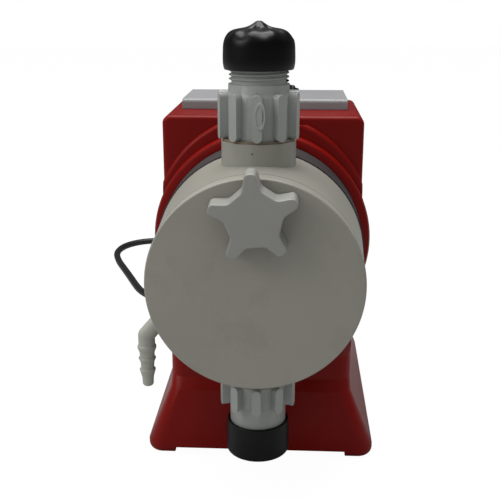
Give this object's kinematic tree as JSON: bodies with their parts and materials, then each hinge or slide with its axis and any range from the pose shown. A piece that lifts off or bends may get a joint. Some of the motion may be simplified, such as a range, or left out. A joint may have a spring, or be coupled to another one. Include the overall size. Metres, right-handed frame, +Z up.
{
  "type": "diaphragm metering pump",
  "caption": "Solenoid diaphragm metering pump on a foot, with a round liquid end, ribbed check valves with push-on caps, a bleed knob, a stroke dial and a mains lead.",
  "frame": {"origin": "centre of the four fixing holes' mouths, at the foot of the base", "axes": "+Z up, -Y towards the liquid end, +X to the right seen from the liquid end"},
  "size_m": [0.2126, 0.4613, 0.2231],
  "materials": {
    "red_housing": "smooth semi-gloss",
    "grey_panel": "fine matte",
    "head_grey": "smooth PVDF, satin",
    "valve_grey": "satin moulding",
    "dark_plastic": "satin",
    "black_rubber": "matte",
    "gasket": "matte",
    "ptfe": "waxy",
    "ceramic": "polished ceramic",
    "steel": "zinc plated or turned",
    "copper": "enamelled wire",
    "board": "lacquered",
    "brass_pins": "plated contact",
    "lens_green": "clear moulding",
    "lens_yellow": "clear moulding",
    "lens_red": "clear moulding"
  },
  "bodies": {
    "pump": {"drive_housing": "red_housing", "rear_cover": "red_housing", "base_plate": "dark_plastic", "base_screws": "steel", "cover_screws": "steel", "control_panel": "grey_panel", "dial_scale": "grey_panel", "rate_switch": "dark_plastic", "lamp_green": "lens_green", "lamp_yellow": "lens_yellow", "lamp_red": "lens_red", "circuit_board": "board", "board_standoffs": "steel", "board_parts": "dark_plastic", "control_socket": "dark_plastic", "level_socket": "dark_plastic", "option_blank": "dark_plastic", "mains_gland": "dark_plastic", "power_cord": "black_rubber", "cord_coil": "black_rubber", "cord_tail": "black_rubber", "mains_plug": "black_rubber", "magnet_shell": "steel", "magnet_front": "steel", "coil_bobbin": "dark_plastic", "coil_winding": "copper", "rod_bushes": "brass_pins", "stop_ring": "black_rubber", "return_spring": "steel", "backplate": "dark_plastic", "diaphragm": "ptfe", "dosing_head": "head_grey", "head_cover": "head_grey", "head_screws": "steel", "hose_nozzle": "valve_grey", "discharge_valve": "valve_grey", "discharge_seat": "ptfe", "discharge_cage": "valve_grey", "discharge_gasket": "gasket", "suction_valve": "valve_grey", "suction_seat": "ptfe", "suction_cage": "valve_grey", "suction_gasket": "gasket"},
    "rod": {"push_rod": "steel", "armature": "steel"},
    "upper_ball": {"discharge_ball": "ceramic"},
    "lower_ball": {"suction_ball": "ceramic"},
    "bleed_stem": {"bleed_spindle": "valve_grey", "bleed_seal": "black_rubber"},
    "bleed_star": {"bleed_knob": "head_grey"},
    "dial": {"stroke_dial": "dark_plastic", "dial_shaft": "steel"},
    "rate": {"rate_knob": "dark_plastic"},
    "upper_cap": {"discharge_cap": "black_rubber"},
    "lower_cap": {"suction_cap": "black_rubber"}
  },
  "joints": [
    {"name": "stroke", "type": "slide", "parent": "pump", "child": "rod", "axis": [0, -1, 0], "range_m": [0, 0.00125], "stiffness_N_per_m": 8000, "deforming": ["diaphragm", "return_spring"]},
    {"name": "discharge_lift", "type": "slide", "parent": "pump", "child": "upper_ball", "axis": [0, 0, 1], "range_m": [0, 0.002]},
    {"name": "suction_lift", "type": "slide", "parent": "pump", "child": "lower_ball", "axis": [0, 0, 1], "range_m": [0, 0.002]},
    {"name": "bleed_travel", "type": "slide", "parent": "pump", "child": "bleed_stem", "axis": [0, -1, 0], "range_m": [0, 0.001]},
    {"name": "bleed_turn", "type": "hinge", "parent": "bleed_stem", "child": "bleed_star", "pos_m": [0, -0.13, 0.1475], "axis": [0, -1, 0], "range_deg": [0, 180]},
    {"name": "stroke_setting", "type": "hinge", "parent": "pump", "child": "dial", "pos_m": [0, 0.04625, 0.1674], "axis": [0, 0.5, 0.866], "range_deg": [-135, 135]},
    {"name": "rate_setting", "type": "hinge", "parent": "pump", "child": "rate", "pos_m": [0.0325, 0.0653, 0.1564], "axis": [0, 0.5, 0.866], "range_deg": [-90, 90]},
    {"name": "discharge_cap_off", "type": "slide", "parent": "pump", "child": "upper_cap", "axis": [0, 0, 1], "range_m": [0, 0.018]},
    {"name": "suction_cap_off", "type": "slide", "parent": "pump", "child": "lower_cap", "axis": [0, 0, -1], "range_m": [0, 0.012]}
  ],
  "couplings": [
    {"joint": "bleed_travel", "follows": "bleed_turn", "m_per_rad": 0.00031831}
  ]
}
